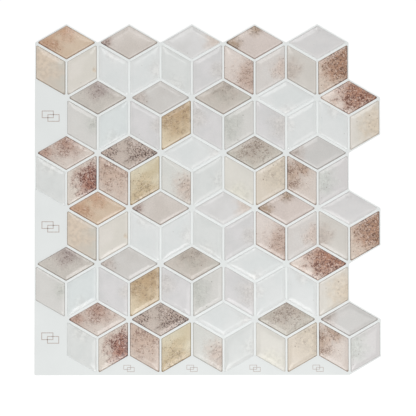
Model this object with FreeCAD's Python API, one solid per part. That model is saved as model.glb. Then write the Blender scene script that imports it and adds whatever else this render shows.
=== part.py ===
# Peel and stick backsplash tile, of the three-dimensional cube kind, lying face up.
#
# The real sheet is a die-cut vinyl film. Its back is coated with adhesive and covered by a paper
# release liner, and its face carries ninety separate drops of clear gel, poured on printed fields and
# cured. Three rhombic drops, a top, a left and a right one, read as one cube seen from a corner.
# Alternate rows of cubes are set half a cube over. So the top and right edges of the sheet follow the
# cubes, and the left and bottom edges are straight, with bare flaps that the next sheets overlap.
#
# Lengths are in millimetres. The origin is the middle of the sheet, on the underside of the liner.
# +X is to the right of the face, +Y is up the wall and +Z comes out of the face.
import FreeCAD
import Part
import math
import os

# Driving dimensions of the sheet
SHEET_WIDTH = 300.3
SHEET_HEIGHT = 304.9  # to the points of the top cubes, before the die rounds them
SHEET_CORNER_RADIUS = 1.0  # of the cutting die
FILM_THICKNESS = 0.5  # vinyl with its adhesive coat
LINER_THICKNESS = 0.2
ROWS = 6
CUBES_PER_ROW = 5

# Driving dimensions of the gel drops
GROUT_WIDTH = 2.2  # bare film between two neighbouring drops
DROP_HEIGHT = 1.5
CONTACT_ANGLE = math.radians(50)  # the angle at which the cured gel stands on the film
DROP_CORNER_RADIUS = 0.6  # seen from above

# Sizes that follow from them
CUBE_WIDTH = SHEET_WIDTH / (CUBES_PER_ROW + 1 / 2)  # every second row is set over by half a cube
CUBE_SIDE = SHEET_HEIGHT / (3 / 2 * ROWS + 1 / 2)  # each row adds one and a half sides, the last one two
ROW_PITCH = 3 / 2 * CUBE_SIDE
ROW_SHIFT = CUBE_WIDTH / 2
SHOULDER_RADIUS = DROP_HEIGHT / (1 - math.cos(CONTACT_ANGLE))
FILM_BOTTOM = LINER_THICKNESS
FILM_TOP = FILM_BOTTOM + FILM_THICKNESS

UP = FreeCAD.Vector(0, 0, 1)


def cube_centre(row, column):
    """The point where the three faces of a cube meet. Row 0 is the top row, column 0 the left one."""
    x = (CUBE_WIDTH - SHEET_WIDTH) / 2 + CUBE_WIDTH * column + ROW_SHIFT * (row % 2)
    y = SHEET_HEIGHT / 2 - CUBE_SIDE - ROW_PITCH * row
    return FreeCAD.Vector(x, y, 0)


# The six outer corners of a cube, from its centre
TOP = FreeCAD.Vector(0, CUBE_SIDE, 0)
BOTTOM = FreeCAD.Vector(0, -CUBE_SIDE, 0)
UPPER_RIGHT = FreeCAD.Vector(CUBE_WIDTH / 2, CUBE_SIDE / 2, 0)
LOWER_RIGHT = FreeCAD.Vector(CUBE_WIDTH / 2, -CUBE_SIDE / 2, 0)
UPPER_LEFT = FreeCAD.Vector(-CUBE_WIDTH / 2, CUBE_SIDE / 2, 0)
LOWER_LEFT = FreeCAD.Vector(-CUBE_WIDTH / 2, -CUBE_SIDE / 2, 0)

# Each face of a cube: its middle, and the two edges that span it
CUBE_FACES = {
    "top": (TOP * 0.5, UPPER_RIGHT, UPPER_LEFT),
    "left": (LOWER_LEFT * 0.5, UPPER_LEFT, BOTTOM),
    "right": (LOWER_RIGHT * 0.5, UPPER_RIGHT, BOTTOM),
}


def corner_points(points, radius):
    """For each corner of an outline, where an arc of this radius would begin, pass its middle, and end."""
    corners = []
    for i, corner in enumerate(points):
        to_last = (points[i - 1] - corner).normalize()
        to_next = (points[(i + 1) % len(points)] - corner).normalize()
        half_angle = to_last.getAngle(to_next) / 2
        inwards = (to_last + to_next).normalize()
        tangent_length = radius / math.tan(half_angle)
        depth = radius / math.sin(half_angle) - radius
        start = corner + to_last * tangent_length
        end = corner + to_next * tangent_length
        corners.append((start, corner + inwards * depth, end))
    return corners


def rounded_outline(points, radius):
    """A closed flat wire through the points, each corner rounded with a tangent arc."""
    corners = corner_points(points, radius)
    edges = []
    for i, (start, middle, end) in enumerate(corners):
        next_start = corners[(i + 1) % len(corners)][0]
        edges.append(Part.Arc(start, middle, end).toShape())
        edges.append(Part.LineSegment(end, next_start).toShape())
    return Part.Wire(edges)


def blunted_outline(points, radius):
    """A closed flat wire through the points, each corner blunted by the chord of such an arc."""
    ends = [point for start, _, end in corner_points(points, radius) for point in (start, end)]
    return Part.makePolygon(ends + ends[:1])


def drop_half_width(along, other):
    """Half the distance between the two sides of a drop that run along one edge of its rhombus."""
    return along.cross(other).Length / along.Length / 2 - GROUT_WIDTH / 2


def drop_outline(edge_a, edge_b):
    """The foot of a drop about the origin: the rhombus spanned by two edges, drawn in by half the grout."""
    width_a = edge_b.cross(edge_a).Length / edge_b.Length
    width_b = edge_a.cross(edge_b).Length / edge_a.Length
    half_a = edge_a * (drop_half_width(edge_b, edge_a) / width_a)
    half_b = edge_b * (drop_half_width(edge_a, edge_b) / width_b)
    corners = [half_a + half_b, half_b - half_a, -half_a - half_b, half_a - half_b]
    return blunted_outline(corners, DROP_CORNER_RADIUS)


def gel_section(half_width):
    """The section across a drop: a round shoulder that stands on the film, a flat top, and a shoulder."""
    shoulder_y = -half_width + SHOULDER_RADIUS * math.sin(CONTACT_ANGLE)
    shoulder_z = DROP_HEIGHT - SHOULDER_RADIUS

    def on_shoulder(slope):
        """The point of the near shoulder where the surface has this slope."""
        y = shoulder_y - SHOULDER_RADIUS * math.sin(slope)
        return FreeCAD.Vector(0, y, shoulder_z + SHOULDER_RADIUS * math.cos(slope))

    near = [on_shoulder(CONTACT_ANGLE), on_shoulder(CONTACT_ANGLE / 2), on_shoulder(0)]
    far = [FreeCAD.Vector(0, -point.y, point.z) for point in reversed(near)]
    return Part.Wire(
        [
            Part.Arc(*near).toShape(),
            Part.LineSegment(near[-1], far[0]).toShape(),
            Part.Arc(*far).toShape(),
            Part.LineSegment(far[-1], near[0]).toShape(),
        ]
    )


def gel_bar(along, other):
    """A long bar of gel that runs along one edge of a rhombus and fills the strip between its two sides."""
    length = 2 * (along.Length + other.Length)
    section = Part.Face(gel_section(drop_half_width(along, other)))
    section.translate(FreeCAD.Vector(-length / 2, 0, 0))
    bar = section.extrude(FreeCAD.Vector(length, 0, 0))
    bar.rotate(FreeCAD.Vector(0, 0, 0), UP, math.degrees(math.atan2(along.y, along.x)))
    return bar


def gel_drop(edge_a, edge_b):
    """One drop about the origin: what two crossing bars share, mitred like a hipped roof, corners blunted."""
    column = Part.Face(drop_outline(edge_a, edge_b)).extrude(UP * DROP_HEIGHT)
    return gel_bar(edge_a, edge_b).common(gel_bar(edge_b, edge_a)).common(column).Solids[0]


def sheet_outline():
    """The die-cut outline, clockwise from the upper left corner."""
    points = []
    for column in range(CUBES_PER_ROW):
        points.append(cube_centre(0, column) + UPPER_LEFT)
        points.append(cube_centre(0, column) + TOP)
    for row in range(ROWS):
        last_cube = cube_centre(row, CUBES_PER_ROW - 1)
        points.append(last_cube + UPPER_RIGHT)
        points.append(last_cube + LOWER_RIGHT)
    points.append(cube_centre(ROWS - 1, CUBES_PER_ROW - 1) + BOTTOM)
    points.append(FreeCAD.Vector(-SHEET_WIDTH / 2, -SHEET_HEIGHT / 2, 0))
    return rounded_outline(points, SHEET_CORNER_RADIUS)


def release_liner():
    """The paper that covers the adhesive, cut by the same stroke of the die as the film."""
    return Part.Face(sheet_outline()).extrude(UP * LINER_THICKNESS)


def flap_borders():
    """The lines along which the next sheets end: beside each row that is set over, and under the last row."""
    borders = []
    for row in range(1, ROWS, 2):
        points = [cube_centre(row - 1, 0) + LOWER_LEFT, cube_centre(row, 0) + UPPER_LEFT]
        points.append(cube_centre(row, 0) + LOWER_LEFT)
        if row < ROWS - 1:
            points.append(cube_centre(row + 1, 0) + UPPER_LEFT)
        borders.append(points)
    for column in range(CUBES_PER_ROW):
        cube = cube_centre(ROWS - 1, column)
        borders[-1] += [cube + LOWER_LEFT, cube + BOTTOM]
    return borders


def printed_film():
    """The adhesive-backed film. The borders divide its top into the face of the pattern and the bare flaps."""
    film = Part.Face(sheet_outline()).extrude(UP * FILM_THICKNESS)
    film.translate(UP * FILM_BOTTOM)
    lines = []
    for points in flap_borders():
        lines.append(Part.makePolygon([point + UP * FILM_TOP for point in points]))
    divided, _ = film.generalFuse(lines)
    return divided.Solids[0]


def cube(drops, row, column):
    """The three drops of one cube, cured in place on the film."""
    trio = []
    for face, (middle, _, _) in CUBE_FACES.items():
        drop = drops[face].copy()
        drop.translate(cube_centre(row, column) + middle + UP * FILM_TOP)
        trio.append(drop)
    return Part.makeCompound(trio)


def export(shape, node):
    shape.exportStep(os.path.join("parts", node + ".step"))


os.makedirs("parts", exist_ok=True)
export(release_liner(), "release_liner")
export(printed_film(), "printed_film")
drops = {face: gel_drop(edge_a, edge_b) for face, (_, edge_a, edge_b) in CUBE_FACES.items()}
for row in range(ROWS):
    for column in range(CUBES_PER_ROW):
        export(cube(drops, row, column), f"cube_row{row + 1}_col{column + 1}")
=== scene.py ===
# %% [markdown]
# # A peel-and-stick wall tile with three-dimensional cubes
#
# The real sheet is a die-cut vinyl film with a paper liner behind it. Ninety drops of clear gel are
# poured on printed fields of the film and cured. A top, a left and a right drop read as one cube seen
# from a corner. Here the drops are surfaces made of numbers, the stone print under them is a shader,
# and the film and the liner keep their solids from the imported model.
#
# Everything is in metres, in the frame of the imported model, so nothing has to be fitted afterwards.

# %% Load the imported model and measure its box
import math

import bpy
import numpy as np
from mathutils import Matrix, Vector


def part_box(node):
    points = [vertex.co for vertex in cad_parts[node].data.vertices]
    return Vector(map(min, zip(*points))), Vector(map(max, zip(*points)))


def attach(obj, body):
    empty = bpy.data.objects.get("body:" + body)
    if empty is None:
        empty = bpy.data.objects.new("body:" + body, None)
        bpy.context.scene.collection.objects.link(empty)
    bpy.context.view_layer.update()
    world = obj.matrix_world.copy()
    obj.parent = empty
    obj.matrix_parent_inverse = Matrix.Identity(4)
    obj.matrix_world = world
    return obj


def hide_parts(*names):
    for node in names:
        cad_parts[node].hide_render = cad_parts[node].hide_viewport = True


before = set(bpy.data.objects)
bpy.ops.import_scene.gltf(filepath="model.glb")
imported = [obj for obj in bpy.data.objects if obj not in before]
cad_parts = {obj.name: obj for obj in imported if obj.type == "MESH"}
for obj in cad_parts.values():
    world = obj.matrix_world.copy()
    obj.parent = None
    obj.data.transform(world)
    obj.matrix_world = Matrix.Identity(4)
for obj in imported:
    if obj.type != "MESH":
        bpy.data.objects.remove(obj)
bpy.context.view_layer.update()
MM = 0.001

# %% [markdown]
# ## The lattice of cubes
#
# Alternate rows of cubes are set half a cube over. All the sizes that the pattern needs are measured
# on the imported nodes, so the looks follow the solids if those ever change. The pitch along a row comes
# from two neighbours, and the pitch of the rows from two cubes that stand in line two rows apart. A
# cube seen from its corner is a regular hexagon pressed a little flat, and two thirds of the row pitch
# is its side.

# %% Measure the lattice
ROWS, COLUMNS = 6, 5


def corners_of(name):
    """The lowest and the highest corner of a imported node, as arrays."""
    return [np.array(corner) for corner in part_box(name)]


film_low = corners_of("printed_film")[0]
first_low, first_high = corners_of("cube_row1_col1")
CUBE_WIDTH = corners_of("cube_row1_col2")[0][0] - first_low[0]
ROW_PITCH = (first_low[1] - corners_of("cube_row3_col1")[0][1]) / 2
CUBE_SIDE = ROW_PITCH * 2 / 3
GROUT = 2 * (first_low[0] - film_low[0])
DROP_FOOT, DROP_TOP = first_low[2], first_high[2]
print(f"cube {CUBE_WIDTH / MM:.2f} wide, side {CUBE_SIDE / MM:.2f}, grout {GROUT / MM:.2f} mm")


def cube_centre(row, column):
    """Rows count from the top. A centre is the left edge plus half a cube, plus one width a column, and
    half a width more on every second row; rows go up from the straight bottom edge in row pitches."""
    x = film_low[0] + CUBE_WIDTH * (0.5 + column + 0.5 * (row % 2))
    y = film_low[1] + CUBE_SIDE + ROW_PITCH * (ROWS - 1 - row)
    return np.array([x, y])


# %% [markdown]
# ## How a cured drop of gel stands
#
# Liquid gel runs to the edge of its printed field and stops there, held by its own skin. So the drop
# stands up steeply at its foot, bends over within a millimetre, falls off in a soft shoulder and is
# almost flat in the middle. Each of these is a slope, and adding slopes up gives a height. That is
# easier to shape than a chain of arcs: one number for each feature of the drop.

# %% The profile of a drop
HALF_DROP = CUBE_SIDE * math.sin(math.radians(60)) / 2 - GROUT / 2
FOOT_ANGLE, FOOT_REACH = math.radians(60), 0.5 * MM
SHOULDER_ANGLE, SHOULDER_START, SHOULDER_END = math.radians(9), 2.9 * MM, 4.4 * MM
CROWN_ANGLE = math.radians(1.0)
PROFILE_STEPS = 2000


def smooth_step(value, start, end):
    """Nought before start, one after end, and 3 t squared minus 2 t cubed in between."""
    t = np.clip((value - start) / (end - start), 0, 1)
    return t * t * (3 - 2 * t)


def drop_height(inset):
    """The height at a distance from the foot. The slope angle is a foot angle that dies away
    exponentially, plus a shoulder angle that ends smoothly, plus a crown angle that falls evenly to
    nought in the middle. The height is the sum of the tangents, scaled to the drop's full height."""
    x = np.linspace(0, HALF_DROP, PROFILE_STEPS)
    slope = (
        FOOT_ANGLE * np.exp(-x / FOOT_REACH)
        + SHOULDER_ANGLE * (1 - smooth_step(x, SHOULDER_START, SHOULDER_END))
        + CROWN_ANGLE * (1 - x / HALF_DROP)
    )
    rise = np.concatenate([[0], np.cumsum(np.tan(slope)[1:] * np.diff(x))])
    return np.interp(inset, x, rise * (DROP_TOP - DROP_FOOT) / rise[-1])


RING_INSETS = np.array([0, 0.1, 0.25, 0.45, 0.7, 1.0, 1.4, 2.0, 2.7, 3.4, 3.8, 4.2, 4.6, 5.0, 5.6]) * MM
CROWN_SCALES = np.array([0.75, 0.5, 0.25])
CROWN_INSETS = HALF_DROP - (HALF_DROP - RING_INSETS[-1]) * CROWN_SCALES
INSETS = np.concatenate([RING_INSETS, CROWN_INSETS])
HEIGHTS = drop_height(INSETS)
print("heights of the rings in mm:", (HEIGHTS / MM).round(2))

# %% [markdown]
# ## The three drops of a cube
#
# Each drop is a rhombus with its corners rounded off. A ring is that rhombus moved inwards by some
# distance. The corners of inner rings are rounder, as on the real gel, whose skin pulls tight. Rings
# that shrink to the middle close the crown, and a flat foot closes the drop underneath. The grid has
# two directions, round the ring and up the profile, and all points of a drop are worked out at once.

# %% Rings of a rhombic drop
FACES = {  # middle of the face from the middle of the cube, and the directions that its sides face
    "top": ((0, CUBE_SIDE / 2), (60, 120)),
    "left": ((-CUBE_WIDTH / 4, -CUBE_SIDE / 4), (0, 60)),
    "right": ((CUBE_WIDTH / 4, -CUBE_SIDE / 4), (0, 120)),
}
FOOT_ROUNDING, ROUNDING_GROWTH = 1.0 * MM, 0.2
ARC_POINTS, SIDE_POINTS = 5, 8


def side_directions(face):
    """Unit vectors that point out of the four sides, counter-clockwise, and their angles."""
    angles = np.radians([*FACES[face][1], *(a + 180 for a in FACES[face][1])])
    return angles, np.stack([np.cos(angles), np.sin(angles)], 1)


def arc_angles(face):
    """The angles that the points of the corner arcs face, as corners by points: even steps from the
    angle of one side to the angle of the next."""
    angles, _ = side_directions(face)
    turn = (np.roll(angles, -1) - angles) % (2 * math.pi)
    return angles[:, None] + turn[:, None] * np.linspace(0, 1, ARC_POINTS)


def drop_rings(face):
    """Points of all rings about the middle of the face, as rings by points by two. A corner's arc has
    its centre where the two sides, moved in by the inset and the radius, meet: the sum of their
    directions over one plus their cosine. Sides are straight runs from arc to arc."""
    _, out = side_directions(face)
    inset = RING_INSETS[:, None, None]
    radius = FOOT_ROUNDING + ROUNDING_GROWTH * inset
    following = np.roll(out, -1, 0)
    meet = (out + following) / (1 + (out * following).sum(1, keepdims=True))
    centre = (HALF_DROP - inset - radius) * meet
    along = arc_angles(face)
    arc = centre[:, :, None] + radius[..., None] * np.stack([np.cos(along), np.sin(along)], -1)
    share = np.linspace(0, 1, SIDE_POINTS + 2)[1:-1, None]
    start, end = arc[:, :, -1:], np.roll(arc[:, :, :1], -1, 1)
    ring = np.concatenate([arc, start + (end - start) * share], 2)
    ring = ring.reshape(len(RING_INSETS), -1, 2)
    crown = ring[-1] * CROWN_SCALES[:, None, None]
    return np.concatenate([ring, crown])


def outward_rise(face):
    """How far the ground plan's outward direction points up the sheet, for the points of one ring:
    the sine of its angle, from one on the sides that look up to minus one on those that look down."""
    along = arc_angles(face)
    straight = np.repeat(along[:, -1:], SIDE_POINTS, 1)
    return np.sin(np.concatenate([along, straight], 1)).ravel()


print("a drop has", len(INSETS), "rings of", drop_rings("top").shape[1], "points")

# %% [markdown]
# ## What was poured where
#
# The print under the gel imitates slabs of stone. Some fields are plain and pale, others are washed
# with rust, ochre or umber from one side. A small set of named finishes covers them all. For each drop
# the layout names its finish, the side of the field where the wash begins, and how far it reaches.
# The printing roller is three rows long, so the lower three rows repeat the upper three.

# %% The layout of the finishes
LAYOUT = [
    [
        (("caramel", "W", 0.8, "N", 0.6), ("sand", "NW", 1.0), ("cream", "E", 0.1)),
        (("blush", "W", 0.4), ("white", "N", 0.3), ("white", "E", 0.4)),
        (("warm_white", "E", 0.6), ("cool_white", "S", 0.4), ("lilac", "E", 0.4)),
        (("gilt_blush", "W", 0.55, "N", 0.35), ("umber_sand", "SE", 0.85), ("pale_blush", "E", 0.5)),
        (("lilac_white", "N", 0.3), ("smoke", "W", 0.55), ("umber", "NE", 1.05)),
    ],
    [
        (("taupe", "N", 0.75), ("celadon", "E", 0.35), ("ice_white", "S", 0.4)),
        (("pale_taupe", "W", 0.5), ("lilac", "E", 0.3), ("ochre", "N", 1.0)),
        (("green_taupe", "N", 0.75), ("lilac", "NW", 0.5), ("celadon", "W", 0.7)),
        (("white", "S", 0.3), ("lilac", "E", 0.6), ("white", "W", 0.3)),
        (("rust", "NE", 1.08), ("white", "N", 0.3), ("cream", "E", 0.8)),
    ],
    [
        (("rose_umber", "N", 0.8, "W", 0.6), ("cool_white", "N", 0.4), ("oxblood", "E", 0.85)),
        (("plum", "E", 1.2, "W", 0.75), ("rose_sand", "N", 1.1), ("khaki", "S", 0.9)),
        (("white", "E", 0.4), ("stained_ivory", "SE", 0.65), ("cool_white", "E", 0.4)),
        (("moss", "N", 1.15), ("ivory", "S", 0.6), ("biscuit", "NE", 0.8)),
        (("stone", "W", 0.5), ("umber_rose", "NW", 0.7, "N", 0.5), ("celadon_lilac", "W", 0.7)),
    ],
]
ROLLER_ROWS = len(LAYOUT)
named = sorted({drop[0] for row in LAYOUT for cube in row for drop in cube})
print(len(named), "finishes:", ", ".join(named))

# %% [markdown]
# ## How far a wash reaches
#
# A stain in stone comes in from one side and fades. The named side is a direction on the sheet, and the
# stain is strongest a little inside the edge that lies there. From that spot the amount falls in a
# straight line. The wandering edge of the stain is left to the shader, which has finer points to draw
# with than the mesh has.

# %% The amount of wash
COMPASS = {"E": 0, "NE": 30, "N": 90, "NW": 150, "W": 180, "S": 270, "SE": 330}
WASH_SOURCE = 0.85


def wash_amount(face, points, *washes):
    """One where a wash begins, just inside the named side of the field, falling in a straight line to
    nought at reach times the length of a cube's side. Where two washes meet, the stronger counts."""
    amount = np.zeros(len(points))
    for side, reach in zip(washes[::2], washes[1::2]):
        angle = math.radians(COMPASS[side])
        toward = np.array([math.cos(angle), math.sin(angle)])
        edge = HALF_DROP / np.abs(side_directions(face)[1] @ toward).max()
        far = np.linalg.norm(points - toward * edge * WASH_SOURCE, axis=-1)
        amount = np.maximum(amount, 1 - far / (reach * CUBE_SIDE))
    return amount


print("in the middle of a rusty top:", wash_amount("top", np.zeros((1, 2)), "NE", 1.08).round(2))

# %% [markdown]
# ## Colours by name
#
# A colour listed as on a paint card is written in the usual 0 to 255 steps. Blender reckons with
# light, so a small function turns such a triple into linear light once, and nothing else has to.

# %% Paint
def paint(red, green, blue):
    """A 0 to 255 colour as linear light: a share up to 0.04 is divided by 12.92, and above that the
    share plus 0.055 over 1.055 is raised to 2.4."""
    share = np.array([red, green, blue]) / 255
    light = np.where(share <= 0.04045, share / 12.92, ((share + 0.055) / 1.055) ** 2.4)
    return (*light.tolist(), 1.0)


print("a middle grey of 128 is", round(paint(128, 128, 128)[0], 3), "of full light")

# %% [markdown]
# ## Small helpers for node trees
#
# A material is a tree of nodes. These helpers keep its recipe readable: they add a node, or a whole
# group of nodes as one, and plug in what it is given. The same words then serve for a link and for a
# constant, so a recipe doesn't have to say which of the two it uses.

# %% Nodes and groups
def plug_in(tree, node, plugs):
    """Give a node what it needs. Each plug gets either another node's output or a constant."""
    for key, value in plugs.items():
        if isinstance(value, bpy.types.NodeSocket):
            tree.links.new(value, node.inputs[key])
        else:
            node.inputs[key].default_value = value


def add_node(tree, kind, plugs=None, **settings):
    """A new node with its settings and plugs."""
    made = tree.nodes.new("ShaderNode" + kind)
    for name, value in settings.items():
        setattr(made, name, value)
    plug_in(tree, made, plugs or {})
    return made


def new_group(name, plugs_in, plugs_out):
    """An empty node group with named sockets, and its two end nodes."""
    tree = bpy.data.node_groups.new(name, "ShaderNodeTree")
    for way, plugs in (("INPUT", plugs_in), ("OUTPUT", plugs_out)):
        for plug, kind in plugs.items():
            tree.interface.new_socket(plug, in_out=way, socket_type="NodeSocket" + kind)
    begin, end = tree.nodes.new("NodeGroupInput"), tree.nodes.new("NodeGroupOutput")
    return tree, begin.outputs, end.inputs


def add_group(tree, group, plugs):
    """One node that stands for a whole group and is plugged in, by its outputs."""
    made = tree.nodes.new("ShaderNodeGroup")
    made.node_tree = group
    plug_in(tree, made, plugs)
    return made.outputs


print("helpers for nodes:", [helper.__name__ for helper in (plug_in, add_node, new_group, add_group)])

# %% [markdown]
# ## Reckoning with paint and noise
#
# Every pattern here is made of three steps: make noise of a known size, cut a mask with a soft edge out
# of it, and mix two paints by that mask. One helper for each step keeps a pattern down to a few lines.
# Noise is asked for by the size of its lumps in metres, which is easier to judge than a scale.

# %% Masks, mixtures and noise
def mix_paint(tree, share, under, over, blend="MIX"):
    """The colour under, covered by the colour over as much as share says."""
    plugs = {0: share, 6: under, 7: over}
    return add_node(tree, "Mix", plugs, data_type="RGBA", blend_type=blend).outputs[2]


def soft_mask(tree, value, start, end, low=0.0, high=1.0):
    """Low before start and high after end, with a smooth passage."""
    plugs = {0: value, 1: start, 2: end, 3: low, 4: high}
    return add_node(tree, "MapRange", plugs, interpolation_type="SMOOTHSTEP").outputs[0]


def reckon(tree, what, *values, clamped=False):
    """One sum or product of values, held between nought and one if clamped."""
    return add_node(tree, "Math", dict(enumerate(values)), operation=what, use_clamp=clamped).outputs[0]


def shaded(tree, colour, shade):
    """A colour with each of its three parts multiplied by one value."""
    grey = add_node(tree, "CombineXYZ", {0: shade, 1: shade, 2: shade}).outputs[0]
    return mix_paint(tree, 1.0, colour, grey, "MULTIPLY")


def grain(tree, where, size, detail=2.0, rough=0.5, twist=0.0):
    """Noise whose lumps are about as large as size, in metres."""
    plugs = {"Vector": where, "Scale": 1 / size, "Detail": detail}
    plugs |= {"Roughness": rough, "Distortion": twist}
    return add_node(tree, "TexNoise", plugs).outputs[0]


def fine_bump(tree, height, strength, distance):
    """A normal that follows a height, whose full range stands for a share of the distance."""
    plugs = {"Height": height, "Strength": strength, "Distance": distance}
    return add_node(tree, "Bump", plugs).outputs[0]


helpers = (mix_paint, soft_mask, reckon, shaded, grain, fine_bump)
print("helpers for patterns:", [helper.__name__ for helper in helpers])

# %% [markdown]
# ## Ground, wash and shade of the stone print
#
# Printed stone is built up as a painter would do it. First comes a ground with faint clouds. Over it
# lies a watery wash, whose edge wanders because noise is added before the mask is cut. A mottle of a
# few millimetres shades the colour, more so where the wash is strong, and a finer tooth roughens the
# stained fields.

# %% Broad layers of the print
CLOUD, WASH_EDGE, MOTTLE, TOOTH = 16 * MM, 7 * MM, 3.2 * MM, 1.1 * MM
CLOUD_CUT, WASH_CUT, MOTTLE_CUT, TOOTH_CUT = (0.38, 0.66), (0.1, 0.85), (0.36, 0.64), (0.3, 0.7)
STAINED_CUT, WANDER = (-0.5, 0.6), 0.9
MOTTLE_ON_GROUND, MOTTLE_IN_WASH, TOOTH_SHADE = 0.02, 0.15, 0.28
ABOUT_NOUGHT = -0.5, 0.5


def lay_ground(tree, plug):
    """The ground paint with the cloud paint over it, as much as a broad noise says."""
    clouds = soft_mask(tree, grain(tree, plug["Position"], CLOUD, detail=1.5), *CLOUD_CUT)
    share = reckon(tree, "MULTIPLY", clouds, plug["Clouds"])
    return mix_paint(tree, share, plug["Ground"], plug["Cloud"])


def wet_places(tree, plug):
    """The amount of wash plus noise about nought, and the soft mask that is cut from their sum."""
    noise = grain(tree, plug["Position"], WASH_EDGE, detail=4.0, rough=0.6)
    wander = reckon(tree, "MULTIPLY_ADD", noise, WANDER, -WANDER / 2)
    wet = reckon(tree, "ADD", plug["Wash Amount"], wander)
    return wet, soft_mask(tree, wet, *WASH_CUT)


def shade_of_stone(tree, plug, wet, washed):
    """One, plus the mottle times a depth that grows with the wash, plus the tooth on stained ground."""
    where = plug["Position"]
    mottle = soft_mask(tree, grain(tree, where, MOTTLE, detail=3.0, rough=0.6), *MOTTLE_CUT, *ABOUT_NOUGHT)
    depth = reckon(tree, "MULTIPLY_ADD", washed, MOTTLE_IN_WASH, MOTTLE_ON_GROUND)
    shade = reckon(tree, "MULTIPLY_ADD", mottle, depth, 1.0)
    tooth = soft_mask(tree, grain(tree, where, TOOTH, detail=1.0, twist=0.6), *TOOTH_CUT, *ABOUT_NOUGHT)
    stained = reckon(tree, "MULTIPLY", soft_mask(tree, wet, *STAINED_CUT), plug["Flecked"])
    return reckon(tree, "MULTIPLY_ADD", tooth, reckon(tree, "MULTIPLY", stained, TOOTH_SHADE), shade)


print("layers from", TOOTH / MM, "to", CLOUD / MM, "mm")

# %% [markdown]
# ## Flecks of the stone print
#
# In the wash sit short crooked flecks. They are found where a noise crosses one level, which gives thin
# winding lines, and two more noises break those lines into pieces. A second level of the same noise
# lays a pale fleck beside each dark one. Rounder specks are the middles of a few cells of a cell
# pattern.

# %% Flecks and specks
CROOKED_LINE, LINE_PIECE, LINE_PATCH, SPECK = 1.9 * MM, 1.5 * MM, 8 * MM, 2.2 * MM
DARK_LEVEL, PALE_LEVEL, LINE_CUT = 0.5, 0.66, (0.03, 0.085)
REACH_CUT, PIECE_CUT, MORE_PIECES = (0.0, 0.75), (1.19, 1.27), 0.3
CELL_CUT, MORE_CELLS, SPECK_CUT, SPECK_SHARE = (0.98, 1.02), 0.4, (0.14, 0.3), 0.8
FALLING = 1.0, 0.0


def fleck_masks(tree, plug, wet):
    """The dark flecks and the pale ones. A line is where the distance of a winding noise from a level
    is small, a piece of it is where the sum of two noises is high, and both fade with the wash. A speck
    is near the middle of a cell whose random number is high, and counts as dark. Where the wash is
    strong, lower sums and numbers count as high."""
    where = plug["Position"]
    reach = reckon(tree, "MULTIPLY", soft_mask(tree, wet, *REACH_CUT), plug["Flecked"])
    winding = grain(tree, where, CROOKED_LINE, detail=1.0, twist=0.8)
    fine, broad = grain(tree, where, LINE_PIECE, detail=0.0), grain(tree, where, LINE_PATCH, detail=1.0)
    broken = reckon(tree, "ADD", fine, broad)
    pieces = soft_mask(tree, reckon(tree, "MULTIPLY_ADD", reach, MORE_PIECES, broken), *PIECE_CUT)
    flecks = []
    for level in (DARK_LEVEL, PALE_LEVEL):
        off = reckon(tree, "ABSOLUTE", reckon(tree, "SUBTRACT", winding, level))
        line = soft_mask(tree, off, *LINE_CUT, *FALLING)
        flecks.append(reckon(tree, "MULTIPLY", reckon(tree, "MULTIPLY", line, pieces), reach))
    dark, pale = flecks
    cells = add_node(tree, "TexVoronoi", {"Vector": where, "Scale": 1 / SPECK}).outputs
    lot = add_node(tree, "SeparateColor", {0: cells["Color"]}).outputs[0]
    chosen = soft_mask(tree, reckon(tree, "MULTIPLY_ADD", reach, MORE_CELLS, lot), *CELL_CUT)
    near = soft_mask(tree, cells["Distance"], *SPECK_CUT, *FALLING)
    speck = reckon(tree, "MULTIPLY", near, chosen)
    return reckon(tree, "MAXIMUM", dark, reckon(tree, "MULTIPLY", speck, SPECK_SHARE)), pale


print("flecks where the winding noise is near", DARK_LEVEL, "and", PALE_LEVEL)

# %% [markdown]
# ## The stone print as one group
#
# The layers now go over each other in a node group. It takes the paints and the amounts and only puts
# out a colour, so every finish can use the same print, and the shader itself stays in sight in the
# material.

# %% The stone print as a node group
PALE_FLECK, PALE_SHARE, PALE_MIX = paint(240, 232, 226), 0.6, 0.4


def build_stone_print():
    """Ground, wash, shade and flecks, laid over each other in one group that only puts out a colour."""
    colours = {name: "Color" for name in ("Ground", "Cloud", "Wash", "Fleck")}
    amounts = {name: "Float" for name in ("Wash Amount", "Clouds", "Washed", "Flecked")}
    plugs = {"Position": "Vector", **colours, **amounts}
    tree, plug, out = new_group("StonePrint", plugs, {"Color": "Color"})
    wet, washed = wet_places(tree, plug)
    colour = lay_ground(tree, plug)
    colour = mix_paint(tree, reckon(tree, "MULTIPLY", washed, plug["Washed"]), colour, plug["Wash"])
    colour = shaded(tree, colour, shade_of_stone(tree, plug, wet, washed))
    dark, pale = fleck_masks(tree, plug, wet)
    pale_paint = mix_paint(tree, PALE_MIX, colour, PALE_FLECK)
    colour = mix_paint(tree, reckon(tree, "MULTIPLY", pale, PALE_SHARE), colour, pale_paint)
    tree.links.new(mix_paint(tree, dark, colour, plug["Fleck"]), out["Color"])
    return tree


STONE_PRINT = build_stone_print()
print("group", STONE_PRINT.name, "has", len(STONE_PRINT.nodes), "nodes")
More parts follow.
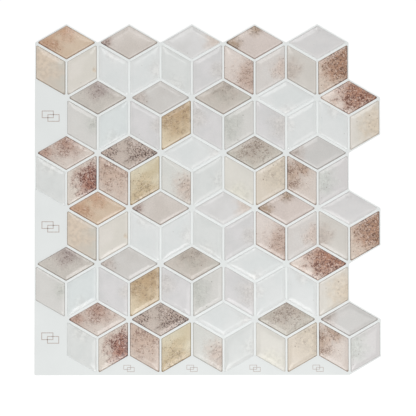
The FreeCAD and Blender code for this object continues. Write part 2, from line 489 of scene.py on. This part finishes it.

# %% [markdown]
# ## Painted light and shade at the rim of a drop
#
# The steep foot of a drop works like a lens. The light that comes out there has crossed the print
# twice, so stained drops have a dark line along their edge, while pale drops end in a clear, almost
# white foot. Just inside, the bend of the gel gathers a little light into a faint pale line. Here all
# three are painted into the colour: a painted shade line along the foot, a painted pale foot and a
# painted highlight just inside. A lens could be traced through real glass, but painting them by the
# distance from the edge is quicker, free of noise, and can be baked.

# %% The painted rim light and shade as a node group
# The foot line is painted shade, the clear foot is painted light, and the gathered line is a painted
# highlight
FOOT_LINE_FULL, FOOT_LINE_END = 0.15 * MM, 0.8 * MM
GATHERED_START, GATHERED_PEAK, GATHERED_END = 0.9 * MM, 1.3 * MM, 2.0 * MM
PAINTED_FOOT_SHADE = (0.62, 0.56, 0.53, 1)
PAINTED_FOOT_LIGHT, GATHERED_HIGHLIGHT_PAINT = paint(238, 241, 240), paint(244, 240, 236)
FOOT_LIGHT_SHARE, GATHERED_HIGHLIGHT_SHARE = 0.7, 0.12


def build_painted_rim():
    """The print's colour with painted light and shade by the distance from the edge of the field: a
    painted shade line along the foot, a painted pale foot and a faint painted highlight just inside.
    Depth says how stained the drop is: towards one the painted foot shade is the print times itself and
    a warm shade, and the share of painted pale foot falls evenly with the depth."""
    plugs = {"Color": "Color", "Rim": "Float", "Depth": "Float"}
    tree, plug, out = new_group("PaintedRimLightAndShade", plugs, {"Color": "Color"})
    # A painted shade line along the foot, deeper on stained drops
    near = soft_mask(tree, plug["Rim"], FOOT_LINE_FULL, FOOT_LINE_END, *FALLING)
    twice = mix_paint(tree, 1.0, plug["Color"], plug["Color"], "MULTIPLY")
    deep = mix_paint(tree, plug["Depth"], plug["Color"], twice)
    shade = mix_paint(tree, 1.0, deep, PAINTED_FOOT_SHADE, "MULTIPLY")
    colour = mix_paint(tree, near, plug["Color"], mix_paint(tree, plug["Depth"], deep, shade))
    # A painted pale foot, standing for the light through the clear gel, mostly on pale drops
    clear = reckon(tree, "SUBTRACT", FOOT_LIGHT_SHARE, plug["Depth"], clamped=True)
    colour = mix_paint(tree, reckon(tree, "MULTIPLY", near, clear), colour, PAINTED_FOOT_LIGHT)
    # A faint painted highlight just inside, where the bend of the gel gathers light
    begun = soft_mask(tree, plug["Rim"], GATHERED_START, GATHERED_PEAK)
    ended = soft_mask(tree, plug["Rim"], GATHERED_PEAK, GATHERED_END, *FALLING)
    painted_highlight = reckon(tree, "MULTIPLY", reckon(tree, "MULTIPLY", begun, ended), GATHERED_HIGHLIGHT_SHARE)
    tree.links.new(mix_paint(tree, painted_highlight, colour, GATHERED_HIGHLIGHT_PAINT), out["Color"])
    return tree


PAINTED_RIM = build_painted_rim()
print("group", PAINTED_RIM.name, "has", len(PAINTED_RIM.nodes), "nodes")

# %% [markdown]
# ## Gel over the print
#
# Every finish is the same recipe with its own colours and amounts: the print, the painted light and
# shade of the rim, and clear cured gel on top. The gel is the coat of the Principled shader over a
# duller print, which is how the real drop is built. A very slight waviness keeps its reflections from
# looking machined.

# %% The material of a drop
PRINT_LOOK = {"Roughness": 0.42, "Specular IOR Level": 0.2}
GEL_LOOK = {"Coat Weight": 1.0, "Coat Roughness": 0.12, "Coat IOR": 1.49}
GEL_WAVE, WAVE_HEIGHT, WAVE_STRENGTH = 7 * MM, 0.4 * MM, 0.02


def gel_finish(name, ground, cloud, wash, fleck, washed, flecked, rim, clouds=0.6):
    """A finish of the gel drops: four paints, how much each of them covers, and how deep the painted shade
    of the rim is.
    """
    material = bpy.data.materials.new("gel_" + name)
    material.use_nodes = True
    tree = material.node_tree
    shader = tree.nodes["Principled BSDF"]
    where = add_node(tree, "Attribute", attribute_name="print_at").outputs["Vector"]
    amount = add_node(tree, "Attribute", attribute_name="wash").outputs["Fac"]
    edge = add_node(tree, "Attribute", attribute_name="rim").outputs["Fac"]
    paints = {"Ground": ground, "Cloud": cloud, "Wash": wash, "Fleck": fleck}
    plugs = {layer: paint(*colour) for layer, colour in paints.items()}
    plugs |= {"Position": where, "Wash Amount": amount}
    plugs |= {"Clouds": clouds, "Washed": washed, "Flecked": flecked}
    printed = add_group(tree, STONE_PRINT, plugs)["Color"]
    # The rim group paints shade and light along the foot; rim sets the depth of its painted shade
    rimmed = add_group(tree, PAINTED_RIM, {"Color": printed, "Rim": edge, "Depth": rim})["Color"]
    skin = fine_bump(tree, grain(tree, where, GEL_WAVE, detail=1.0), WAVE_STRENGTH, WAVE_HEIGHT)
    plug_in(tree, shader, {"Base Color": rimmed, "Normal": skin, **PRINT_LOOK, **GEL_LOOK})
    return material


print("gel bends light by", GEL_LOOK["Coat IOR"])

# %% [markdown]
# ## The paints of each finish
#
# One line gives one finish. The first two paints are close to each other, since clouds in stone are
# faint. The wash is the stain, and the flecks are darker than it. Whites have hardly any painted rim
# shade, while the stained stones have a full one. A table is easier to compare and to change than
# thirty materials set up by hand, because every line has its numbers in the same place.

# %% Make the finishes
UMBER, GREY = (112, 88, 72), (140, 132, 124)
# The rim column sets how deep the painted shade along the foot of a drop is
RECIPES = {  # ground, cloud, wash, fleck; then washed, flecked, rim, and clouds where they aren't usual
    "white": ((215, 217, 216), (209, 213, 212), (216, 214, 211), GREY, 0.5, 0.0, 0.08),
    "cool_white": ((211, 213, 211), (203, 206, 204), (211, 210, 206), GREY, 0.4, 0.0, 0.15),
    "ice_white": ((212, 217, 216), (206, 211, 211), (213, 214, 211), GREY, 0.4, 0.0, 0.12),
    "warm_white": ((209, 208, 207), (200, 199, 197), (203, 188, 176), GREY, 0.8, 0.0, 0.2),
    "lilac_white": ((207, 205, 204), (200, 199, 199), (198, 196, 195), GREY, 0.8, 0.0, 0.18),
    "lilac": ((209, 207, 207), (197, 197, 196), (200, 196, 192), GREY, 0.8, 0.25, 0.35),
    "cream": ((214, 209, 201), (205, 201, 191), (203, 187, 165), UMBER, 0.8, 0.2, 0.6),
    "ivory": ((213, 210, 202), (207, 204, 196), (209, 206, 193), UMBER, 0.8, 0.0, 0.4),
    "stained_ivory": ((210, 209, 203), (203, 204, 199), (194, 175, 162), UMBER, 0.8, 0.45, 0.6),
    "sand": ((192, 188, 178), (199, 187, 173), (205, 187, 167), UMBER, 0.8, 0.0, 0.7),
    "biscuit": ((211, 201, 187), (204, 192, 175), (195, 183, 165), UMBER, 0.8, 0.4, 0.7),
    "caramel": ((201, 181, 159), (194, 170, 143), (179, 140, 110), (138, 90, 60), 0.8, 0.6, 0.8),
    "ochre": ((210, 195, 168), (190, 169, 136), (164, 134, 96), (118, 92, 64), 0.8, 0.6, 0.8),
    "khaki": ((209, 200, 176), (194, 179, 147), (188, 167, 133), (118, 96, 68), 0.8, 0.65, 0.8, 0.9),
    "blush": ((201, 193, 186), (191, 183, 175), (145, 117, 105), (108, 82, 76), 0.6, 0.7, 0.8),
    "gilt_blush": ((203, 191, 184), (197, 185, 178), (152, 125, 96), (98, 74, 56), 0.8, 0.7, 0.8),
    "pale_blush": ((207, 203, 199), (201, 195, 190), (201, 183, 171), UMBER, 0.8, 0.5, 0.5),
    "umber_sand": ((213, 203, 196), (208, 196, 187), (178, 152, 136), (112, 80, 66), 0.8, 0.6, 0.8),
    "smoke": ((205, 200, 193), (194, 190, 183), (181, 169, 159), UMBER, 0.8, 0.3, 0.6),
    "umber": ((203, 187, 173), (197, 177, 160), (164, 122, 95), (94, 60, 38), 0.95, 1.15, 0.8),
    "taupe": ((193, 187, 179), (181, 176, 168), (158, 143, 137), (104, 84, 80), 0.8, 0.65, 0.8),
    "pale_taupe": ((199, 196, 192), (190, 186, 181), (181, 169, 161), UMBER, 0.8, 0.4, 0.6),
    "green_taupe": ((192, 184, 175), (182, 179, 169), (168, 157, 146), (112, 100, 88), 0.8, 0.45, 0.7),
    "celadon": ((206, 204, 200), (200, 199, 194), (185, 186, 179), (132, 130, 120), 0.8, 0.3, 0.5),
    "rust": ((214, 201, 191), (206, 188, 173), (161, 112, 86), (94, 48, 26), 0.95, 1.15, 0.8),
    "oxblood": ((212, 203, 193), (206, 195, 183), (152, 101, 81), (86, 34, 16), 0.95, 1.15, 0.8),
    "rose_umber": ((205, 194, 185), (197, 185, 175), (166, 129, 111), (104, 66, 52), 0.8, 0.8, 0.8),
    "plum": ((190, 178, 168), (174, 160, 149), (169, 149, 137), (66, 42, 30), 0.8, 1.1, 0.8),
    "rose_sand": ((204, 190, 179), (195, 178, 165), (183, 157, 139), (106, 72, 58), 0.8, 0.7, 0.8),
    "moss": ((190, 185, 174), (182, 179, 168), (170, 156, 144), (114, 98, 86), 0.8, 0.75, 0.8),
    "stone": ((198, 195, 192), (190, 189, 186), (173, 161, 153), UMBER, 0.8, 0.4, 0.7),
    "umber_rose": ((205, 195, 187), (204, 192, 182), (172, 145, 124), (104, 72, 54), 0.8, 0.8, 0.8),
    "celadon_lilac": ((205, 202, 201), (199, 196, 196), (196, 199, 193), GREY, 0.8, 0.25, 0.4),
}
FINISHES = {name: gel_finish(name, *recipe) for name, recipe in RECIPES.items()}
print(len(FINISHES), "finishes made; missing:", set(named) - set(FINISHES))

# %% [markdown]
# ## From a grid to a mesh
#
# The rings of a drop are a grid of points, and a mesh needs to know which of them belong together.
# Neighbours on two rings make a four-sided face. The innermost ring is closed by a fan of triangles to
# a pole in the middle, and so is the foot, from below. Index arithmetic on whole arrays does this once
# for every drop.

# %% Points and faces of a drop
def drop_grid(face, centre):
    """The points of a drop as rings by points by three, in the frame of the sheet."""
    flat = drop_rings(face) + centre + np.array(FACES[face][0])
    height = np.broadcast_to((DROP_FOOT + HEIGHTS)[:, None, None], (*flat.shape[:2], 1))
    return np.concatenate([flat, height], 2)


def skin_of(rings, points, first):
    """Four-sided faces between neighbouring rings, and fans of triangles that close the top and the
    foot, for a drop whose vertices begin at first: its rings, then the top pole and the foot pole."""
    ring, point = np.meshgrid(np.arange(rings - 1), np.arange(points), indexing="ij")
    after = (point + 1) % points
    low, high = ring * points, (ring + 1) * points
    quads = np.stack([low + point, low + after, high + after, high + point], -1).reshape(-1, 4)
    here, there = np.arange(points), (np.arange(points) + 1) % points
    last, pole = (rings - 1) * points, rings * points
    top = np.stack([last + here, last + there, np.full(points, pole)], 1)
    foot = np.stack([there, here, np.full(points, pole + 1)], 1)
    return [(part + first).tolist() for part in (quads, top, foot)]


print("faces of a drop:", [len(part) for part in skin_of(*drop_grid("top", np.zeros(2)).shape[:2], 0)])

# %% [markdown]
# ## Pouring the cubes
#
# A cube is one piece of three drops that don't touch, each with its own finish. Every vertex carries
# three attributes: where it is on the printing roller, how far it is from the edge of the printed
# field, and how much wash lies there. The shader reads those, so the three rows of the roller repeat
# exactly. That distance is made larger on the sides that look up the sheet and smaller on those that
# look down it, so the painted shade line along the foot is stronger on the sides that look down the
# sheet, away from the light.

# %% Pour thirty cubes
# Shift of the painted rim, so that its painted shade line is stronger on the sides that look down the
# sheet
RIM_SHADE_SHIFT = 0.28 * MM


def put_in_scene(name, data):
    """A new object that shows its data in the scene."""
    made = bpy.data.objects.new(name, data)
    bpy.context.scene.collection.objects.link(made)
    return made


def pour_drop(face, centre, first, washes):
    """The points of a drop, its upper faces and its foot faces, whose vertices begin at first, and for
    each point the distance for the painted rim and the amount of wash. The distance is the inset plus
    the shift times how far the side looks up the sheet, which paints a stronger shade line on the sides
    that look down the sheet."""
    grid = drop_grid(face, centre)
    middle = centre + np.array(FACES[face][0])
    poles = np.array([[*middle, DROP_TOP], [*middle, DROP_FOOT]])
    points = np.concatenate([grid.reshape(-1, 3), poles])
    quads, top, foot = skin_of(*grid.shape[:2], first)
    from_edge = INSETS[:, None] + RIM_SHADE_SHIFT * outward_rise(face)
    rim = np.concatenate([from_edge.ravel(), [HALF_DROP, 0]])
    return points, quads + top, foot, rim, wash_amount(face, points[:, :2] - middle, *washes)


def pour_cube(row, column):
    """One piece of three closed drops with their attributes and finishes."""
    centre = cube_centre(row, column)
    points, faces, slots, rounded, rim, wash = [], [], [], [], [], []
    mesh = bpy.data.meshes.new(f"gel_cube_row{row + 1}_col{column + 1}")
    for number, (face, (finish, *washes)) in enumerate(zip(FACES, LAYOUT[row % ROLLER_ROWS][column])):
        first = sum(len(part) for part in points)
        solid, upper, foot, distance, amount = pour_drop(face, centre, first, washes)
        points.append(solid)
        rim.append(distance)
        wash.append(amount)
        faces += upper + foot
        rounded += [True] * len(upper) + [False] * len(foot)
        slots += [number] * (len(upper) + len(foot))
        mesh.materials.append(FINISHES[finish])
    points = np.concatenate(points)
    mesh.from_pydata(points.tolist(), [], faces)
    mesh.polygons.foreach_set("material_index", slots)
    mesh.polygons.foreach_set("use_smooth", rounded)
    on_print = points - np.array([*(centre - cube_centre(row % ROLLER_ROWS, column)), 0])
    mesh.attributes.new("print_at", "FLOAT_VECTOR", "POINT").data.foreach_set("vector", on_print.ravel())
    mesh.attributes.new("rim", "FLOAT", "POINT").data.foreach_set("value", np.concatenate(rim))
    mesh.attributes.new("wash", "FLOAT", "POINT").data.foreach_set("value", np.concatenate(wash))
    mesh.update()
    piece = put_in_scene(mesh.name, mesh)
    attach(piece, "root")
    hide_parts(f"cube_row{row + 1}_col{column + 1}")
    return piece


cubes = [pour_cube(row, column) for row in range(ROWS) for column in range(COLUMNS)]
triangles = sum(len(face.vertices) - 2 for piece in cubes for face in piece.data.polygons)
print(len(cubes), "cubes poured,", triangles, "triangles")

# %% [markdown]
# ## Painted gleam on the bare film
#
# Between the drops the film looks brighter and cooler than on the flaps that the next sheet covers. The
# sides of the gel throw light on it there, and that light is painted into the film's colour: the joints
# get a brighter painted gleam along their length, and where joints meet and the gel stands farther off,
# the film keeps the tone of the flaps. All of it follows from the lattice: a left flap is a five-sided
# field beside every second row, and a bottom flap is a triangle between two cubes. Folding the sheet to
# and fro turns all repeats of a corner into one.

# %% Where the film has no painted gleam, as a node group
STAR_FULL, STAR_END = 2.4 * MM, 5.0 * MM
SMALL_FULL, SMALL_END, SMALL_SHARE = 0.8 * MM, 2.4 * MM, 0.7


def near_corners(tree, place, start, near, far):
    """One up to near and nought beyond far from the corners of a lattice that passes through start. The
    lattice is two grids of oblongs, half an oblong apart, and ping-pong folds the sheet into one."""
    half_wide, half_high = CUBE_WIDTH / 2, ROW_PITCH
    across = reckon(tree, "PINGPONG", reckon(tree, "SUBTRACT", place[0], float(start[0])), half_wide)
    up = reckon(tree, "PINGPONG", reckon(tree, "SUBTRACT", place[1], float(start[1])), half_high)
    others = reckon(tree, "SUBTRACT", half_wide, across), reckon(tree, "SUBTRACT", half_high, up)
    masks = []
    for pair in ((across, up), others):
        apart = add_node(tree, "CombineXYZ", dict(enumerate(pair))).outputs[0]
        distance = add_node(tree, "VectorMath", {0: apart}, operation="LENGTH").outputs["Value"]
        masks.append(soft_mask(tree, distance, near, far, *FALLING))
    return reckon(tree, "MAXIMUM", *masks)


def flap_mask(tree, place):
    """One on the flaps. A left flap is what lies within half a cube and half a joint of the left edge
    and below a slanting line, with the rows folded onto the second. A bottom flap is what lies below a
    slanting line, with the columns folded onto the valley between two cubes."""
    slant = CUBE_SIDE / CUBE_WIDTH
    joint_up = GROUT / 2 / math.cos(math.atan(slant))
    across = reckon(tree, "SUBTRACT", place[0], float(film_low[0]))
    second_row = float(cube_centre(1, 0)[1])
    turned = reckon(tree, "PINGPONG", reckon(tree, "SUBTRACT", place[1], second_row), ROW_PITCH)
    limit = reckon(tree, "MULTIPLY_ADD", across, -slant, CUBE_SIDE + joint_up)
    beside = reckon(tree, "LESS_THAN", across, CUBE_WIDTH / 2 + GROUT / 2)
    left = reckon(tree, "MULTIPLY", reckon(tree, "LESS_THAN", turned, limit), beside)
    above = reckon(tree, "SUBTRACT", place[1], float(film_low[1]))
    valley = reckon(tree, "PINGPONG", reckon(tree, "SUBTRACT", across, CUBE_WIDTH / 2), CUBE_WIDTH / 2)
    ceiling = reckon(tree, "MULTIPLY_ADD", valley, -slant, CUBE_SIDE / 2 + joint_up)
    return reckon(tree, "MAXIMUM", left, reckon(tree, "LESS_THAN", above, ceiling))


def build_no_gleam_film():
    """One where the film keeps its own tone, on the flaps and where joints meet, and nought along the
    joints, which get the painted gleam; from the place on the sheet.
    """
    tree, plug, out = new_group("NoGleamFilm", {"Position": "Vector"}, {"No Gleam": "Float"})
    place = add_node(tree, "SeparateXYZ", {0: plug["Position"]}).outputs
    middle = cube_centre(0, 0)
    stars = near_corners(tree, place, middle + (CUBE_WIDTH / 2, CUBE_SIDE / 2), STAR_FULL, STAR_END)
    inner = near_corners(tree, place, middle, SMALL_FULL, SMALL_END)
    outer = near_corners(tree, place, middle + (0, CUBE_SIDE), SMALL_FULL, SMALL_END)
    small = reckon(tree, "MULTIPLY", reckon(tree, "MAXIMUM", inner, outer), SMALL_SHARE)
    meetings = reckon(tree, "MAXIMUM", stars, small)
    tree.links.new(reckon(tree, "MAXIMUM", flap_mask(tree, place), meetings), out["No Gleam"])
    return tree


NO_GLEAM_FILM = build_no_gleam_film()
print("group", NO_GLEAM_FILM.name, "has", len(NO_GLEAM_FILM.nodes), "nodes")

# %% [markdown]
# ## The vinyl film
#
# The film's solid is right as it is, so the node stays and only gets a better surface: satin vinyl with
# the faintest mottle of the print rollers, in the film's own white and a brighter white painted along
# the joints as gleam. A fine bump stands for the skin of pressed vinyl, too small to be worth any faces.

# %% Vinyl
# The joints get a brighter white as painted gleam; the flaps show the film's own white
JOINT_GLEAM_WHITE, BARE_WHITE = paint(231, 234, 233), paint(222, 225, 224)
VINYL_MOTTLE, VINYL_SKIN, MOTTLE_SHADES = 30 * MM, 0.9 * MM, (0.985, 1.01)


def plain_material(name, rough, specular):
    """A material with a Principled shader, set to one roughness and one specular level."""
    material = bpy.data.materials.new(name)
    material.use_nodes = True
    shader = material.node_tree.nodes["Principled BSDF"]
    plug_in(material.node_tree, shader, {"Roughness": rough, "Specular IOR Level": specular})
    return material, material.node_tree, shader


def dress(name, material):
    """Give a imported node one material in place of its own."""
    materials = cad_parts[name].data.materials
    materials.clear()
    materials.append(material)
    print(name, "dressed as", material.name)


vinyl, tree, shader = plain_material("vinyl_film", rough=0.42, specular=0.3)
where = add_node(tree, "TexCoord").outputs["Object"]
no_gleam = add_group(tree, NO_GLEAM_FILM, {"Position": where})["No Gleam"]
mottle = soft_mask(tree, grain(tree, where, VINYL_MOTTLE), 0.3, 0.7, *MOTTLE_SHADES)
# Painted gleam along the joints, the film's own white on the flaps and where joints meet
tone = shaded(tree, mix_paint(tree, no_gleam, JOINT_GLEAM_WHITE, BARE_WHITE), mottle)
skin = fine_bump(tree, grain(tree, where, VINYL_SKIN), strength=0.12, distance=0.05 * MM)
plug_in(tree, shader, {"Base Color": tone, "Normal": skin})
dress("printed_film", vinyl)

# %% [markdown]
# ## The release liner
#
# The paper behind the film is peeled off before use. Its silicone side faces the glue, and what shows
# from below is plain paper: faintly yellow, with fibres. Stretched noise makes the fibres.

# %% Paper
FIBRE, PAPER_TOOTH, FIBRE_STRETCH = 4 * MM, 0.6 * MM, (1.0, 5.0, 1.0)
PAPER_LIGHT, PAPER_DARK = paint(238, 235, 227), paint(228, 224, 214)
paper, tree, shader = plain_material("liner_paper", rough=0.7, specular=0.25)
where = add_node(tree, "TexCoord").outputs["Object"]
laid = add_node(tree, "Mapping", {"Vector": where, "Scale": FIBRE_STRETCH}).outputs[0]
fibres = soft_mask(tree, grain(tree, laid, FIBRE, detail=4.0, rough=0.7), 0.35, 0.65)
tone = mix_paint(tree, fibres, PAPER_LIGHT, PAPER_DARK)
tooth = fine_bump(tree, grain(tree, where, PAPER_TOOTH, detail=3.0), strength=0.3, distance=0.03 * MM)
plug_in(tree, shader, {"Base Color": tone, "Normal": tooth})
dress("release_liner", paper)

# %% [markdown]
# ## A ribbon of ink
#
# Print that stands on bare film is a little heap of ink. A line of it could be a texture, but a thin
# closed ribbon keeps its sharp edge at any distance and needs no unwrapped surface. It is a rectangle
# carried round a path, with mitred corners like a picture frame.

# %% Ink along a path
INK_HEIGHT = 0.012 * MM


def ink_ribbon(path, width):
    """A flat ribbon along a path that closes and runs counter-clockwise. At each corner its borders lie
    half a width out and in, times the sum of the two neighbouring side normals over one plus their
    cosine."""
    path = np.array(path, float)
    side = np.roll(path, -1, 0) - path
    side /= np.linalg.norm(side, axis=1, keepdims=True)
    normal = np.stack([side[:, 1], -side[:, 0]], 1)
    before = np.roll(normal, 1, 0)
    miter = (normal + before) / (1 + (normal * before).sum(1, keepdims=True))
    outer, inner = path + miter * width / 2, path - miter * width / 2
    low, high = DROP_FOOT, DROP_FOOT + INK_HEIGHT
    levels = [(outer, low), (outer, high), (inner, high), (inner, low)]
    return np.stack([np.column_stack([flat, np.full(len(path), z)]) for flat, z in levels])


def ribbon_faces(ribbon, first):
    """Four-sided faces between neighbouring borders, closed both ways, for vertices from first on."""
    levels, around = ribbon.shape[:2]
    level, spot = np.meshgrid(np.arange(levels), np.arange(around), indexing="ij")
    low, high = level * around, (level + 1) % levels * around
    after = (spot + 1) % around
    quads = np.stack([low + spot, low + after, high + after, high + spot], -1)
    return (quads.reshape(-1, 4) + first).tolist()


print("ink stands", INK_HEIGHT / MM, "mm on the film")

# %% [markdown]
# ## Marks on the flaps
#
# Each flap carries a small printed sign for the person who hangs the tiles. A generic one is used: two
# oblongs that overlap, which says where the next sheet lies. The flaps on the left have room for a
# larger sign than the triangles along the bottom.

# %% Overlap signs
# Half sizes of the oblong and its shift from the middle, as shares of the sign's nominal width
SIGN_OBLONG = np.array([(-1, -1), (1, -1), (1, 1), (-1, 1)]) * np.array([1.25, 0.75]) * 0.3
SIGN_SHIFT = np.array([-1.6, 1.0]) * 0.12
LEFT_SIGN_WIDTH, LEFT_SIGN_LINE, LEFT_SIGN_IN = 13 * MM, 0.7 * MM, CUBE_WIDTH * 0.25
LOW_SIGN_WIDTH, LOW_SIGN_LINE, LOW_SIGN_UP = 8 * MM, 0.45 * MM, CUBE_SIDE * 0.18
INK_DARK, INK_WORN, INK_WEAR = paint(178, 166, 160), paint(194, 184, 178), 0.8 * MM


def sign(centre, width, line):
    """Two open oblongs, the first one upper left and the second one lower right, that overlap."""
    return [ink_ribbon((SIGN_OBLONG + way * SIGN_SHIFT) * width + centre, line) for way in (1, -1)]


left_x, low_y = film_low[0] + LEFT_SIGN_IN, film_low[1] + LOW_SIGN_UP
left_spots = [np.array([left_x, cube_centre(row, 0)[1]]) for row in range(1, ROWS, 2)]
valleys = [cube_centre(ROWS - 1, column)[0] + CUBE_WIDTH / 2 for column in range(COLUMNS - 1)]
low_spots = [np.array([x, low_y]) for x in valleys]
ribbons = [part for spot in left_spots for part in sign(spot, LEFT_SIGN_WIDTH, LEFT_SIGN_LINE)]
ribbons += [part for spot in low_spots for part in sign(spot, LOW_SIGN_WIDTH, LOW_SIGN_LINE)]
points, faces = [], []
for ribbon in ribbons:
    faces += ribbon_faces(ribbon, len(points))
    points += ribbon.reshape(-1, 3).tolist()
marks_mesh = bpy.data.meshes.new("flap_signs")
marks_mesh.from_pydata(points, [], faces)
ink, tree, shader = plain_material("sign_ink", rough=0.5, specular=0.3)
where = add_node(tree, "TexCoord").outputs["Object"]
worn = soft_mask(tree, grain(tree, where, INK_WEAR), 0.35, 0.65)
plug_in(tree, shader, {"Base Color": mix_paint(tree, worn, INK_DARK, INK_WORN)})
marks_mesh.materials.append(ink)
marks = put_in_scene("flap_signs", marks_mesh)
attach(marks, "root")
print(len(ribbons), "ribbons of ink")

# %% [markdown]
# ## Table and room
#
# The sheet lies on a white table in a bright, even room. The table's own colour is pale, so that it
# throws back as much light as a painted board, and the small rest up to white is added only where the
# camera or a reflection looks at it. In the same way the room is white to look at and a little dimmer
# as a lamp.

# %% Table and room
TABLE_HALF, TABLE_COLOUR, TABLE_REST = 4.0, (0.8, 0.8, 0.8, 1), 0.25
WHITE, ROOM_LIGHT = (1, 1, 1, 1), 0.675


def seen_directly(tree):
    """One for the camera, for reflections and for looks through glass; nought for the light itself."""
    ray = add_node(tree, "LightPath").outputs
    seen = reckon(tree, "MAXIMUM", ray["Is Camera Ray"], ray["Is Glossy Ray"])
    return reckon(tree, "MAXIMUM", seen, ray["Is Transmission Ray"])


table_corners = [(x * TABLE_HALF, y * TABLE_HALF, 0) for x, y in ((-1, -1), (1, -1), (1, 1), (-1, 1))]
table_mesh = bpy.data.meshes.new("table")
table_mesh.from_pydata(table_corners, [], [(0, 1, 2, 3)])
table_paint, tree, shader = plain_material("table_white", rough=0.9, specular=0.0)
rest = reckon(tree, "MULTIPLY", seen_directly(tree), TABLE_REST)
plug_in(tree, shader, {"Base Color": TABLE_COLOUR, "Emission Color": WHITE, "Emission Strength": rest})
table_mesh.materials.append(table_paint)
table = put_in_scene("table", table_mesh)

room = bpy.data.worlds.new("room")
room.use_nodes = True
bpy.context.scene.world = room
tree, background = room.node_tree, room.node_tree.nodes["Background"]
glow = reckon(tree, "MULTIPLY_ADD", seen_directly(tree), 1 - ROOM_LIGHT, ROOM_LIGHT)
plug_in(tree, background, {"Color": WHITE, "Strength": glow})
print("table of", 2 * TABLE_HALF, "m in a room of brightness", ROOM_LIGHT)

# %% [markdown]
# ## Light
#
# Flat gel mirrors the even room and shows its print, and each shoulder that tilts far enough mirrors a
# lamp. So the lamps are placed by their mirror images. A soft box beyond the top edge draws the pale
# bands along the upper sides of the drops, mostly at the top of the sheet. A nearer one before the
# bottom edge draws those along the lower sides. Two dimmer panels overhead lay a faint veil on the
# lower part and the right side of the sheet.

# %% Lights
def soft_light(name, place, size, brightness):
    """A soft box that looks at the middle of the sheet. Its face is as bright as the number says, so its
    power is that times pi times its area."""
    data = bpy.data.lights.new(name, "AREA")
    data.shape, data.size, data.size_y = "RECTANGLE", *size
    data.energy = brightness * math.pi * size[0] * size[1]
    lamp = put_in_scene(name, data)
    lamp.location = place
    lamp.rotation_euler = Vector(place).to_track_quat("Z", "Y").to_euler()


soft_light("light_beyond", place=(-0.12, 0.92, 1.5), size=(0.62, 0.94), brightness=2.6)
soft_light("light_before", place=(0.0, -0.56, 0.75), size=(0.36, 0.6), brightness=2.8)
soft_light("light_overhead", place=(0.16, -0.34, 1.0), size=(0.8, 0.28), brightness=0.85)
soft_light("light_overhead_right", place=(0.30, -0.24, 1.0), size=(0.4, 0.36), brightness=0.6)

# %% [markdown]
# ## The camera
#
# The photograph looks straight down from about 0.85 m, which shows in how little the rows shrink. A
# tilt of about one degree accounts for the lean of the sheet's sides. The other two turns are much
# smaller, and put the sheet where it lies in the picture.

# %% Camera
CAMERA_PLACE = (-0.00158, -0.02218, 0.85374)
CAMERA_TURNS = (0.968, -0.125, -0.043)
LENS, SENSOR, CLIP_START, CLIP_END = 85, 36, 0.05, 20

camera_data = bpy.data.cameras.new("camera")
camera_data.lens, camera_data.sensor_width = LENS, SENSOR
camera_data.clip_start, camera_data.clip_end = CLIP_START, CLIP_END
camera = put_in_scene("camera", camera_data)
camera.location = CAMERA_PLACE
camera.rotation_euler = [math.radians(angle) for angle in CAMERA_TURNS]
bpy.context.scene.camera = camera
bpy.context.scene.view_settings.view_transform = "Standard"
print("camera at", CAMERA_PLACE)
